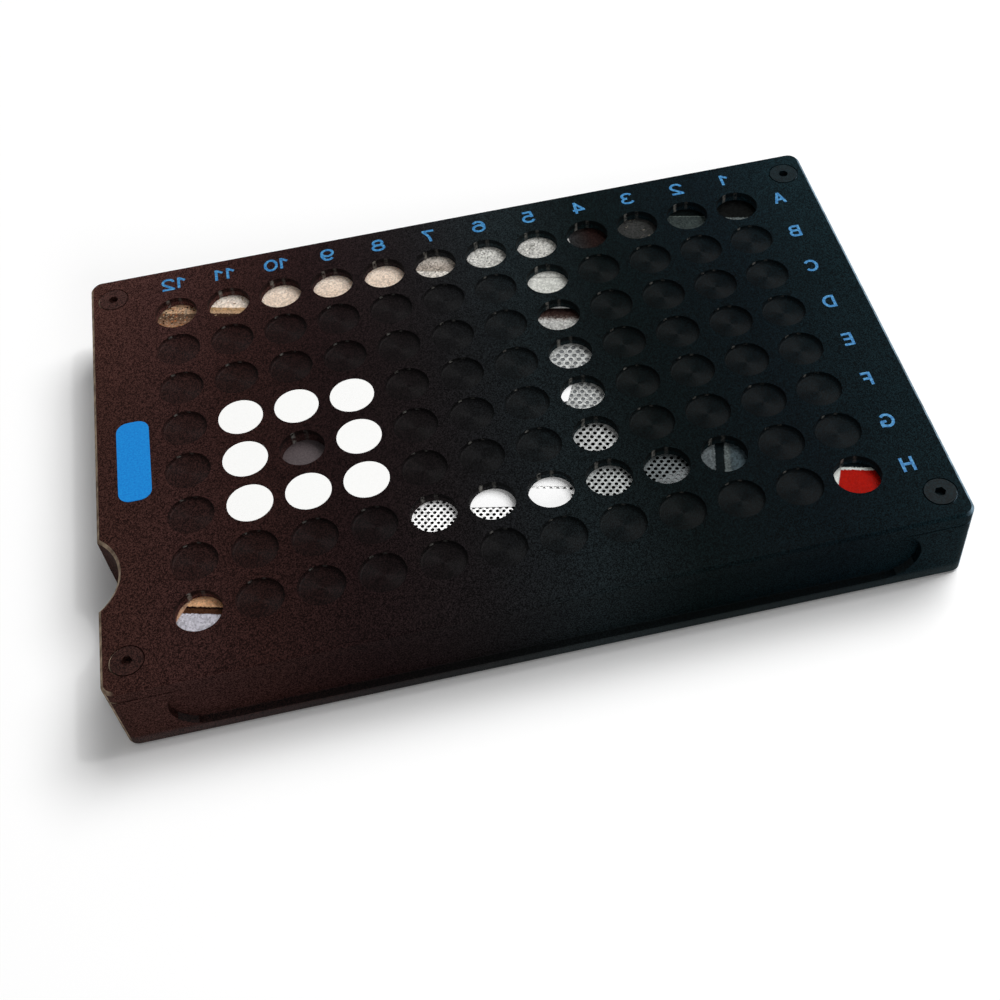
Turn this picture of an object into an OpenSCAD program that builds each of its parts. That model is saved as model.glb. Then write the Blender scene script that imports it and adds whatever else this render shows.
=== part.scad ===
// Reader test plate in microplate format.
// A black anodised block and a screwed-down cover carry glass filters, perforated
// screens, white reference discs and one lit well on the standard 12 by 8 well grid.
// Origin: centre of the footprint, at the underside. +Z up, row A towards +Y.

/* [Plate] */
// Overall height
plate_h = 14.35; // [13.5:0.05:20]
// Distance from the outermost well centres to the plate's ends
end_margin = 14.38; // [12:0.01:20]
// Distance from the outermost well centres to the plate's long sides
side_margin = 11.24; // [9.4:0.01:16]
// Radius of the four upright corners
corner_r = 2; // [1:0.1:2.6]
// Bevel along the outer top and bottom edges
edge_bevel = 0.45; // [0.2:0.05:0.8]
// Edge break on each side of the joint between cover and block
seam_break = 0.15; // [0.05:0.05:0.3]

/* [Cover] */
// Thickness of the cover plate
cover_t = 2.4; // [2:0.1:3.2]
// Depth of the blind wells
blind_depth = 0.7; // [0.5:0.1:1.4]
// Radius in the bottom corner of the blind wells
blind_corner_r = 0.4; // [0.1:0.1:0.5]
// Depth of the step that the filters and white discs bear against
window_depth = 1.7; // [1.4:0.1:2.1]

/* [Well grid] */
// Spacing of the wells
pitch = 9; // [7.5:0.05:11]
// Metal left between neighbouring wells
well_wall = 1.8; // [1.4:0.1:2.6]
// Diameter of the light aperture under each filter and screen
aperture_d = 5; // [4:0.1:6]
// Bevel at the mouth of each aperture on the underside
aperture_bevel = 0.4; // [0.1:0.1:0.6]

/* [Filters, screens and discs] */
// Width of the rim that the cover holds down on each of them
clamp_rim = 0.4; // [0.2:0.05:0.5]
// Thickness of the glass filters and of the flange under a white disc
filter_t = 2; // [1.4:0.1:3]
// Thickness of the perforated screens
screen_t = 0.7; // [0.4:0.05:1.2]
// Thickness of the diffuser in the lit well
diffuser_t = 1.3; // [0.8:0.1:2]
// Radial play of each of them in its seat
seat_play = 0.1; // [0.05:0.01:0.15]
// Radial play of a white disc in its well
disc_play = 0.03; // [0.02:0.01:0.06]
// Hole size of a screen, as a share of the hole spacing in a row
screen_open = 0.56; // [0.4:0.02:0.66]
// Distance between the rows of holes, as a share of the same spacing
screen_rows = 0.66; // [0.62:0.01:0.87]
// Shift of each row of holes against the next, as a share of the same spacing
screen_shift = 0.42; // [0.4:0.01:0.6]
// Turn of the hole rows of the screens, in degrees
screen_turn = -14; // [-30:1:30]
// Solid rim outside the holes of a screen
screen_rim = 0.3; // [0.2:0.05:0.5]

/* [Side grips and notch] */
// Distance from the plate's ends to the recess in each long side
grip_end = 7.78; // [6:0.01:20]
// How far the cutter of that recess runs out over the top of the block
grip_over = 0.65; // [0:0.05:1]
// Depth of that recess
grip_depth = 1.25; // [0.5:0.05:2.5]
// Height of the foot left under the recess
foot_h = 2.2; // [1.6:0.1:2.8]
// Radius of the orientation notch in the left side
notch_r = 8.3; // [5:0.1:10]
// Depth of the notch
notch_depth = 3.05; // [1:0.05:4]
// Distance of the notch from the centre line, towards row H
notch_offset = 21.5; // [15:0.1:26]

/* [Screws] */
// Distance of the cover screws from the plate's ends
screw_inset_x = 3.88; // [3.4:0.01:5]
// Distance of the cover screws from the plate's long sides
screw_inset_y = 5.14; // [4.2:0.01:6.2]
// Thread diameter of the cover screws
screw_d = 2.5; // [2:0.1:3]
// Head diameter of the cover screws
screw_head_d = 4.8; // [4:0.1:5.8]
// Length of the cover screws, head included
screw_l = 8; // [6:0.5:10]
// Width across flats of their hexagon socket
screw_hex = 1.5; // [1.2:0.1:1.8]
// Thread diameter of the hatch and board screws
small_screw_d = 2; // [1.6:0.1:2.4]
// Head diameter of the hatch and board screws
small_head_d = 3.8; // [3.2:0.1:4.4]
// Length of the hatch screws, head included
small_screw_l = 5; // [4:0.5:6]
// Width across flats of their hexagon socket
small_hex = 1.3; // [1:0.1:1.5]
// Head height of the board screws
pan_head_h = 1.2; // [1:0.1:1.4]
// Straight edge round a countersunk head
head_lip = 0.25; // [0.1:0.05:0.3]
// Play round every screw in its clearance hole
screw_play = 0.2; // [0.1:0.05:0.3]
// Play round a screw in its tapped hole
thread_play = 0.03; // [0.01:0.01:0.05]
// How far a tapped hole runs past the tip of its screw
tap_run = 0.5; // [0.3:0.1:0.8]

/* [Electronics bay] */
// Thickness of the hatch under the bay
hatch_t = 1.5; // [1.2:0.1:1.8]
// How far the hatch lies above the underside
hatch_inset = 0.5; // [0.3:0.1:0.8]
// Gap round the hatch
hatch_gap = 0.15; // [0.1:0.05:0.3]
// Width of the ledge that the hatch is screwed to
hatch_ledge = 5; // [4.6:0.1:6]
// Metal left between the hatch recess and the nearest apertures
hatch_wall = 1.5; // [1:0.1:2]
// Metal left between the bay's ceiling and the seats above it
bay_roof = 1.2; // [0.8:0.1:1.5]
// Corner radius of the bay and the hatch
bay_r = 3; // [2:0.5:4]
// Length of the stand-offs of the circuit board
standoff_l = 2.4; // [2.2:0.1:3]
// Diameter of the stand-offs
standoff_d = 4.6; // [4:0.1:5]
// Thickness of the circuit board
board_t = 1.2; // [0.8:0.1:1.5]
// Corner radius of the board
board_r = 1; // [0.5:0.1:2]
// Gap between the board's edge and the wall of the bay
board_gap = 2; // [1.5:0.1:4]
// Distance of the stand-offs from the board's edges
standoff_inset = 3; // [2.6:0.1:4]
// Length, width and height of the lamp's package
led_size = [3.5, 2.8, 1.9]; // [1.2:0.1:4.2]
// Radius of the lamp's domed lens
lens_r = 1.35; // [1:0.05:1.6]
// Height of the lens above the package
lens_rise = 0.35; // [0.2:0.05:0.5]
// Length, width and height of the controller
chip_size = [7, 7, 1]; // [0.8:0.1:9]
// Length, width and height of the light sensor
sensor_size = [3, 3, 0.9]; // [0.6:0.1:4]
// Length, width and height of each capacitor
capacitor_size = [3.2, 1.6, 1.4]; // [0.8:0.1:4]
// Gap between neighbouring parts on the board
part_gap = 2; // [1:0.1:3]

/* [Battery] */
// Diameter of the coin cell
cell_d = 20; // [16:1:22]
// Thickness of the coin cell
cell_t = 2.5; // [1.6:0.1:2.9]
// Height of the cell's narrower pole
cell_pole = 0.6; // [0.3:0.1:1]
// Width of the step round that pole
cell_step = 1.2; // [0.5:0.1:2]
// Sheet thickness of the clip that holds the cell
clip_t = 0.3; // [0.2:0.05:0.4]
// Width of the clip
clip_w = 6; // [4:0.5:8]
// Length of the clip's feet
clip_foot = 2; // [1:0.1:3]
// Play between the clip and the side of the cell
clip_play = 0.2; // [0.1:0.05:0.4]

/* [Hidden] */
$fn = 64;
eps = 0.01;

row_letters = "abcdefgh";
rows = len(row_letters);
columns = 12;
row_a = [for (c = [1:columns]) str("a", c)];
glass_wells = concat(row_a, ["b5", "c5", "g3", "h1", "h12"]);
// Screens: well, hole spacing
screens = [
    ["d5", 1.33], ["e5", 1.2], ["f5", 1.14], ["g5", 1.04],
    ["g4", 1.08], ["g6", 1.03], ["g7", 1], ["g8", 0.98]
];
screen_wells = [for (s = screens) s[0]];
disc_wells = ["d9", "d10", "d11", "e9", "e11", "f9", "f10", "f11"];
lit_well = "e10";
aperture_wells = concat(glass_wells, screen_wells);
seated_wells = concat(glass_wells, disc_wells);
open_wells = concat(seated_wells, screen_wells, [lit_well]);
all_wells = [for (r = [0:rows - 1]) for (c = [1:columns]) str(row_letters[r], c)];
blind_wells = [for (w = all_wells) if (!listed(w, open_wells)) w];

plate_w = (columns - 1) * pitch + 2 * end_margin;
plate_d = (rows - 1) * pitch + 2 * side_margin;
block_h = plate_h - cover_t;
well_r = (pitch - well_wall) / 2;
filter_r = well_r + clamp_rim;
seat_r = filter_r + seat_play;
// A filter's seat lies partly in the cover and partly in the block
cover_seat = cover_t - window_depth;
block_seat = filter_t - cover_seat;
grip_w = plate_w - 2 * grip_end;
grip_h = block_h + grip_over - foot_h;
screw_x = plate_w / 2 - screw_inset_x;
screw_y = plate_d / 2 - screw_inset_y;

// The bay lies between column 5, row A, row G and the last column
hatch_lo = [well_xy("a12")[0] - pitch / 2, well_xy("g8")[1] + aperture_d / 2 + hatch_wall];
hatch_hi = [
    well_xy("c5")[0] - aperture_d / 2 - hatch_wall,
    well_xy("a8")[1] - aperture_d / 2 - hatch_wall
];
bay_lo = hatch_lo + [hatch_ledge, hatch_ledge];
bay_hi = hatch_hi - [hatch_ledge, hatch_ledge];
bay_top = block_h - max(block_seat, diffuser_t) - bay_roof;
ledge_z = hatch_inset + hatch_t;
board_lo = bay_lo + [board_gap, board_gap];
board_hi = bay_hi - [board_gap, board_gap];
board_top = bay_top - standoff_l;
board_bottom = board_top - board_t;
standoffs = corners(board_lo, board_hi, standoff_inset);
cell_xy = [(well_xy(lit_well)[0] + board_hi[0]) / 2, (board_lo[1] + board_hi[1]) / 2];
hatch_mid = (hatch_lo + hatch_hi) / 2;
hatch_points = concat(
    corners(hatch_lo, hatch_hi, hatch_ledge / 2),
    [[hatch_mid[0], hatch_lo[1] + hatch_ledge / 2], [hatch_mid[0], hatch_hi[1] - hatch_ledge / 2]]
);

anodised = "#1c1a1b";
glass_tint = "#9fb0ae";
screen_metal = "#b9bcbe";
white_plastic = "#f6f6f4";
opal = "#77767a";
black_steel = "#2a2827";
board_green = "#1d5a3a";
chip_black = "#202224";
lamp_yellow = "#efe9c8";
bright_steel = "#c3c4c6";

// Where a well lies: its label is a row letter and a column number
function column_of(w) = len(w) == 2 ? ord(w[1]) - 48 : 10 * (ord(w[1]) - 48) + ord(w[2]) - 48;
function row_of(w) = search(w[0], row_letters)[0];
function well_xy(w) = [
    pitch * ((columns + 1) / 2 - column_of(w)),
    pitch * ((rows - 1) / 2 - row_of(w))
];
function listed(w, list) = len([for (v = list) if (v == w) v]) > 0;
function corners(lo, hi, inset) = [
    for (x = [lo[0] + inset, hi[0] - inset]) for (y = [lo[1] + inset, hi[1] - inset]) [x, y]
];

module at_wells(list) {
    for (w = list) translate(well_xy(w)) children();
}

module at_cover_screws() {
    for (sx = [-1, 1]) for (sy = [-1, 1]) translate([sx * screw_x, sy * screw_y]) children();
}

// Half section of a slab whose outer edges are bevelled, from its axis to half
function bevelled(half, h, low, high) = [
    [0, 0], [half - low, 0], [half, low], [half, h - high], [half - high, h], [0, h]
];

// Slab with round upright corners and bevelled edges, standing on z = 0
module slab(w, d, h, r, low, high) {
    for (side = [0, 1]) mirror([side, 0, 0]) rotate([90, 0, 0])
        linear_extrude(d - 2 * r, center = true) polygon(bevelled(w / 2, h, low, high));
    for (side = [0, 1]) mirror([0, side, 0]) rotate([90, 0, 90])
        linear_extrude(w - 2 * r, center = true) polygon(bevelled(d / 2, h, low, high));
    for (sx = [-1, 1]) for (sy = [-1, 1])
        translate([sx * (w / 2 - r), sy * (d / 2 - r), 0])
            rotate_extrude() polygon(bevelled(r, h, low, high));
}

// Flat outline from lo to hi with round corners
module rounded(lo, hi, r) {
    size = hi - lo;
    translate(lo + [r, 0]) square([size[0] - 2 * r, size[1]]);
    translate(lo + [0, r]) square([size[0], size[1] - 2 * r]);
    for (p = corners(lo, hi, r)) translate(p) circle(r);
}

// Round-ended outline centred on the origin
module obround(w, h) {
    square([w - h, h], center = true);
    for (s = [-1, 1]) translate([s * (w - h) / 2, 0]) circle(h / 2);
}

// Notch through the left side, opened out by the edge bevel at its outer end
module notch_cut(z0, z1, low, high) {
    translate([-plate_w / 2 + notch_depth - notch_r, -notch_offset, 0]) {
        translate([0, 0, z0 - eps]) cylinder(h = z1 - z0 + 2 * eps, r = notch_r);
        if (high > 0) translate([0, 0, z1 - high])
            cylinder(h = high + eps, r1 = notch_r, r2 = notch_r + high + eps);
        if (low > 0) translate([0, 0, z0 - eps])
            cylinder(h = low + eps, r1 = notch_r + low + eps, r2 = notch_r);
    }
}

// Blind well: flat turned floor with a small radius where the wall meets it
module blind_cut() {
    translate([0, 0, -blind_depth]) rotate_extrude() {
        square([well_r - blind_corner_r, blind_depth + eps]);
        translate([0, blind_corner_r]) square([well_r, blind_depth - blind_corner_r + eps]);
        intersection() {
            translate([well_r - blind_corner_r, blind_corner_r]) circle(blind_corner_r);
            square([well_r, blind_depth]);
        }
    }
}

// Countersunk screw pointing down, its flat head at z = 0; play widens it into its hole
module countersunk(d, head_d, l, play) {
    cone = (head_d - d) / 2;
    translate([0, 0, -head_lip])
        cylinder(h = head_lip + (play > 0 ? eps : 0), d = head_d + 2 * play);
    translate([0, 0, -head_lip - cone])
        cylinder(h = cone, d1 = d + 2 * play, d2 = head_d + 2 * play);
    translate([0, 0, -l]) cylinder(h = l, d = d + 2 * play);
}

// Hexagon socket sunk from z = 0 to two thirds of its width
module hex_socket(across) {
    depth = across * 2 / 3;
    translate([0, 0, -depth]) cylinder(h = depth + eps, d = across / cos(30), $fn = 6);
}

// Box with the given centre, standing on z = 0
module part_box(centre, size) {
    translate([centre[0] - size[0] / 2, centre[1] - size[1] / 2, 0]) cube(size);
}

// Machined body: seats and apertures from above, bay and hatch recess from below
module base_block() {
    color(anodised) difference() {
        slab(plate_w, plate_d, block_h, corner_r, edge_bevel, seam_break);
        for (side = [0, 1]) mirror([0, side, 0])
            translate([0, -plate_d / 2 + grip_depth, foot_h + grip_h / 2]) rotate([90, 0, 0])
                linear_extrude(grip_depth + eps) obround(grip_w, grip_h);
        notch_cut(0, block_h, edge_bevel, 0);
        at_wells(seated_wells)
            translate([0, 0, block_h - block_seat]) cylinder(h = block_seat + eps, r = seat_r);
        at_wells(aperture_wells) {
            translate([0, 0, -eps]) cylinder(h = block_h + 2 * eps, d = aperture_d);
            translate([0, 0, -eps]) cylinder(
                h = aperture_bevel + eps,
                d1 = aperture_d + 2 * (aperture_bevel + eps), d2 = aperture_d
            );
        }
        translate(well_xy(lit_well)) {
            translate([0, 0, block_h - diffuser_t]) cylinder(h = diffuser_t + eps, r = seat_r);
            cylinder(h = block_h, d = aperture_d);
        }
        at_cover_screws() translate([0, 0, plate_h - screw_l - tap_run])
            cylinder(h = screw_l, d = screw_d + 2 * thread_play);
        translate([0, 0, -eps]) linear_extrude(ledge_z + eps)
            rounded(hatch_lo, hatch_hi, bay_r);
        difference() {
            translate([0, 0, ledge_z - eps]) linear_extrude(bay_top - ledge_z + eps)
                rounded(bay_lo, bay_hi, bay_r);
            for (p = standoffs) translate([p[0], p[1], board_top])
                cylinder(h = standoff_l + eps, d = standoff_d);
        }
        for (p = standoffs) translate([p[0], p[1], board_top - eps])
            cylinder(h = standoff_l + eps, d = small_screw_d + 2 * thread_play);
        for (p = hatch_points) translate([p[0], p[1], ledge_z - eps])
            cylinder(h = small_screw_l - hatch_t + tap_run, d = small_screw_d + 2 * thread_play);
    }
}

// Cover: one shallow well at every place of the grid, stepped through where a piece shows
module cover_plate() {
    color(anodised) translate([0, 0, block_h]) difference() {
        slab(plate_w, plate_d, cover_t, corner_r, seam_break, edge_bevel);
        notch_cut(0, cover_t, 0, edge_bevel);
        at_wells(blind_wells) translate([0, 0, cover_t]) blind_cut();
        at_wells(open_wells) translate([0, 0, -eps]) cylinder(h = cover_t + 2 * eps, r = well_r);
        at_wells(seated_wells) translate([0, 0, -eps])
            cylinder(h = cover_seat + eps, r = seat_r);
        at_wells(screen_wells) translate([0, 0, -eps]) cylinder(h = screen_t + eps, r = seat_r);
        at_cover_screws() translate([0, 0, cover_t])
            countersunk(screw_d, screw_head_d, cover_t + eps, screw_play);
    }
}

module cover_screws() {
    color(black_steel) at_cover_screws() translate([0, 0, plate_h]) difference() {
        countersunk(screw_d, screw_head_d, screw_l, 0);
        hex_socket(screw_hex);
    }
}

module filter_disc(w) {
    color(glass_tint) translate(well_xy(w)) translate([0, 0, block_h - block_seat])
        cylinder(h = filter_t, r = filter_r);
}

// Perforated attenuator: holes in staggered rows out to a plain rim
module screen(w, spacing) {
    hole_r = screen_open * spacing / 2;
    reach = filter_r - screen_rim - hole_r;
    n = ceil(filter_r / (spacing * screen_rows)) + 1;
    color(screen_metal) translate(well_xy(w)) translate([0, 0, block_h])
        linear_extrude(screen_t) difference() {
            circle(filter_r);
            rotate(screen_turn) for (i = [-2 * n:2 * n]) for (j = [-n:n]) {
                p = spacing * [i + j * screen_shift, j * screen_rows];
                if (norm(p) < reach) translate(p) circle(hole_r, $fn = 20);
            }
        }
}

// White reference: a plug flush with the cover on a flange that the cover holds down
module white_disc(w) {
    color(white_plastic) translate(well_xy(w)) {
        translate([0, 0, block_h - block_seat]) cylinder(h = filter_t, r = filter_r);
        translate([0, 0, block_h + cover_seat - eps])
            cylinder(h = window_depth + eps, r = well_r - disc_play);
    }
}

module emitter_diffuser() {
    color(opal) translate(well_xy(lit_well)) translate([0, 0, block_h - diffuser_t])
        cylinder(h = diffuser_t, r = filter_r);
}

// Lamp of the lit well: square package with a domed lens
module emitter_led() {
    color(lamp_yellow) translate(well_xy(lit_well)) translate([0, 0, board_top]) {
        part_box([0, 0], led_size);
        intersection() {
            translate([0, 0, led_size[2] + lens_rise - lens_r]) sphere(r = lens_r);
            translate([0, 0, led_size[2] - eps]) cylinder(h = lens_r, r = lens_r);
        }
    }
}

module circuit_board() {
    color(board_green) translate([0, 0, board_bottom]) linear_extrude(board_t) difference() {
        rounded(board_lo, board_hi, board_r);
        for (p = standoffs) translate(p) circle(d = small_screw_d + 2 * screw_play);
    }
}

// Light sensor beside the lamp, and the controller with two capacitors behind it
module board_parts() {
    lamp = well_xy(lit_well);
    sensor_x = lamp[0] + led_size[0] / 2 + part_gap + sensor_size[0] / 2;
    chip_y = lamp[1] + led_size[1] / 2 + part_gap + chip_size[1] / 2;
    capacitor_x = lamp[0] + chip_size[0] / 2 + part_gap + capacitor_size[0] / 2;
    color(chip_black) translate([0, 0, board_top]) {
        part_box([sensor_x, lamp[1]], sensor_size);
        part_box([lamp[0], chip_y], chip_size);
        for (side = [-1, 1]) part_box(
            [capacitor_x, chip_y + side * (part_gap + capacitor_size[1]) / 2],
            capacitor_size
        );
    }
}

module board_screws() {
    color(bright_steel) for (p = standoffs) translate([p[0], p[1], board_bottom]) difference() {
        union() {
            translate([0, 0, -pan_head_h]) cylinder(h = pan_head_h, d = small_head_d);
            cylinder(h = board_t + standoff_l - tap_run, d = small_screw_d);
        }
        translate([0, 0, -pan_head_h]) mirror([0, 0, 1]) hex_socket(small_hex);
    }
}

module coin_cell() {
    color(bright_steel) translate([cell_xy[0], cell_xy[1], board_bottom - cell_t]) {
        cylinder(h = cell_pole, d = cell_d - 2 * cell_step);
        translate([0, 0, cell_pole - eps]) cylinder(h = cell_t - cell_pole + eps, d = cell_d);
    }
}

// Bent strap over the cell, its two feet soldered to the board
module cell_clip() {
    reach = cell_d / 2 + clip_play;
    drop = cell_t + clip_t;
    color(bright_steel) translate([cell_xy[0], cell_xy[1] - clip_w / 2, board_bottom - drop]) {
        translate([-reach - clip_t, 0, 0]) cube([2 * (reach + clip_t), clip_w, clip_t]);
        for (side = [0, 1]) mirror([side, 0, 0]) {
            translate([reach, 0, 0]) cube([clip_t, clip_w, drop]);
            translate([reach, 0, drop - clip_t]) cube([clip_t + clip_foot, clip_w, clip_t]);
        }
    }
}

module bottom_hatch() {
    gap = [hatch_gap, hatch_gap];
    color(anodised) difference() {
        translate([0, 0, hatch_inset]) linear_extrude(hatch_t)
            rounded(hatch_lo + gap, hatch_hi - gap, bay_r - hatch_gap);
        for (p = hatch_points) translate([p[0], p[1], hatch_inset]) mirror([0, 0, 1])
            countersunk(small_screw_d, small_head_d, hatch_t + eps, screw_play / 2);
    }
}

module hatch_screws() {
    color(black_steel) for (p = hatch_points) translate([p[0], p[1], hatch_inset])
        mirror([0, 0, 1]) difference() {
            countersunk(small_screw_d, small_head_d, small_screw_l, 0);
            hex_socket(small_hex);
        }
}

base_block();
cover_plate();
cover_screws();
emitter_diffuser();
emitter_led();
circuit_board();
board_parts();
board_screws();
coin_cell();
cell_clip();
bottom_hatch();
hatch_screws();
for (w = glass_wells) filter_disc(w);
for (s = screens) screen(s[0], s[1]);
for (w = disc_wells) white_disc(w);
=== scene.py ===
import math

import bmesh
import bpy
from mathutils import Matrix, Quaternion, Vector
from mathutils.geometry import delaunay_2d_cdt


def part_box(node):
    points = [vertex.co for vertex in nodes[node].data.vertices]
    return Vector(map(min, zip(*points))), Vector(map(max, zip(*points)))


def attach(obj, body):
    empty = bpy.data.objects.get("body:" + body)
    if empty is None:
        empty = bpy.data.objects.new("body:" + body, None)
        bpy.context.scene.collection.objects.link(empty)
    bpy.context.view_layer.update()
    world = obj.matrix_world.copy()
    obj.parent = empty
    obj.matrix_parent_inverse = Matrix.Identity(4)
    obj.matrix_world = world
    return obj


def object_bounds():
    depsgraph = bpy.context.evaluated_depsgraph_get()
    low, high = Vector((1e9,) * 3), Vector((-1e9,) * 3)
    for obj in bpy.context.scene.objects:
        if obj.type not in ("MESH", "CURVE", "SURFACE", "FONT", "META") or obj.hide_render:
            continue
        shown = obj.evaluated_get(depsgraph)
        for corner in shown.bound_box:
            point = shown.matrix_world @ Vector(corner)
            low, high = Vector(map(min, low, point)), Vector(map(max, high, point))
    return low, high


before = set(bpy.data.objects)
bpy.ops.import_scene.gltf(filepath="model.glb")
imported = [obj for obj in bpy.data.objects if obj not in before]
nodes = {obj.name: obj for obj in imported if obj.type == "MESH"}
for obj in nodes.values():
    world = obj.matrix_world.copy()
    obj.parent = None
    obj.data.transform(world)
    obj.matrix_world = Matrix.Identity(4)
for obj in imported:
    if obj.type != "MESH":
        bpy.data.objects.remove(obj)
cad_low, cad_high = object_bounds()


# ---- Base block -------------------------------------------------------------------
# The machined body of the plate: a slab of aluminium with grip recesses in its long
# sides, an orientation notch, and a seat and a light aperture under every filter.
# Bead blasted and anodised black before the cover is screwed on.
mm = 0.001


def linear(code):
    """An sRGB hex colour as the linear RGBA that a node socket takes."""
    parts = [int(code[i:i + 2], 16) / 255 for i in (1, 3, 5)]
    return [c / 12.92 if c <= 0.04045 else ((c + 0.055) / 1.055) ** 2.4 for c in parts] + [1]


def add(tree, kind, inputs=None, stops=None, **settings):
    """Adds a shader node, sets its properties, and sets or links its inputs.

    An input goes by its name, or by its number where a node has several of one name.
    """
    node = tree.nodes.new("ShaderNode" + kind)
    for name, value in settings.items():
        setattr(node, name, value)
    for socket, value in (inputs or {}).items():
        if isinstance(value, bpy.types.NodeSocket):
            tree.links.new(value, node.inputs[socket])
        else:
            node.inputs[socket].default_value = value
    if stops:
        ramp = node.color_ramp
        while len(ramp.elements) < len(stops):
            ramp.elements.new(0.5)
        for element, (place, code) in zip(ramp.elements, stops):
            element.position = place
            element.color = linear(code)
    return node


def new_material(name):
    """An empty material, the node tree that its section fills, and the place in the frame."""
    material = bpy.data.materials.new(name)
    material.use_nodes = True
    tree = material.node_tree
    tree.nodes.clear()
    return material, tree, add(tree, "TexCoord").outputs["Object"]


def cover_with(material, *names):
    """Gives CAD nodes one material all over."""
    for name in names:
        mesh = nodes[name].data
        mesh.materials.clear()
        mesh.materials.append(material)


def dyed_black(tree, place):
    """Colour of the dyed skin: brown and lighter towards column 12, blue-black and darker
    towards column 1, with painted glints and a painted sheen towards the back row.
    """
    spot = add(tree, "SeparateXYZ", {"Vector": place})
    share = add(tree, "MapRange", {
        "Value": spot.outputs["X"], "From Min": cad_low.x, "From Max": cad_high.x})
    # Up to 1.55 times as light towards the back row: a painted sheen
    sheen_from = 10 * mm
    back_sheen = add(tree, "MapRange", {
        "Value": spot.outputs["Y"], "From Min": sheen_from, "From Max": cad_high.y,
        "To Min": 1.0, "To Max": 1.55})
    dye = add(tree, "ValToRGB", {"Fac": share.outputs["Result"]}, stops=[
        (0.00, "#34201c"), (0.10, "#2f1d1b"), (0.18, "#271715"), (0.29, "#1a1010"),
        (0.43, "#141213"), (0.56, "#13191b"), (0.68, "#060d0e"), (0.85, "#060e12"),
        (1.00, "#0c191d")])
    # Blasting beads leave dimples, near 0.1 mm wide in truth and drawn here a little wider so
    # that they show; each takes its own brightness, partly random grain and partly painted
    # glints
    dimple = 0.14 * mm
    dimples = add(tree, "TexVoronoi", {"Vector": place, "Scale": 1 / dimple})
    glint_and_grain = add(tree, "MapRange", {
        "Value": dimples.outputs["Color"], "From Min": 0.3, "From Max": 0.85,
        "To Min": 0.28, "To Max": 2.0})
    grain_glint_and_sheen = add(tree, "Math", {
        0: glint_and_grain.outputs["Result"], 1: back_sheen.outputs["Result"]}, operation="MULTIPLY")
    colour = add(tree, "VectorMath", {
        0: dye.outputs["Color"], 1: grain_glint_and_sheen.outputs["Value"]}, operation="MULTIPLY")
    return colour.outputs["Vector"], dimples.outputs["Distance"]


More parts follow.
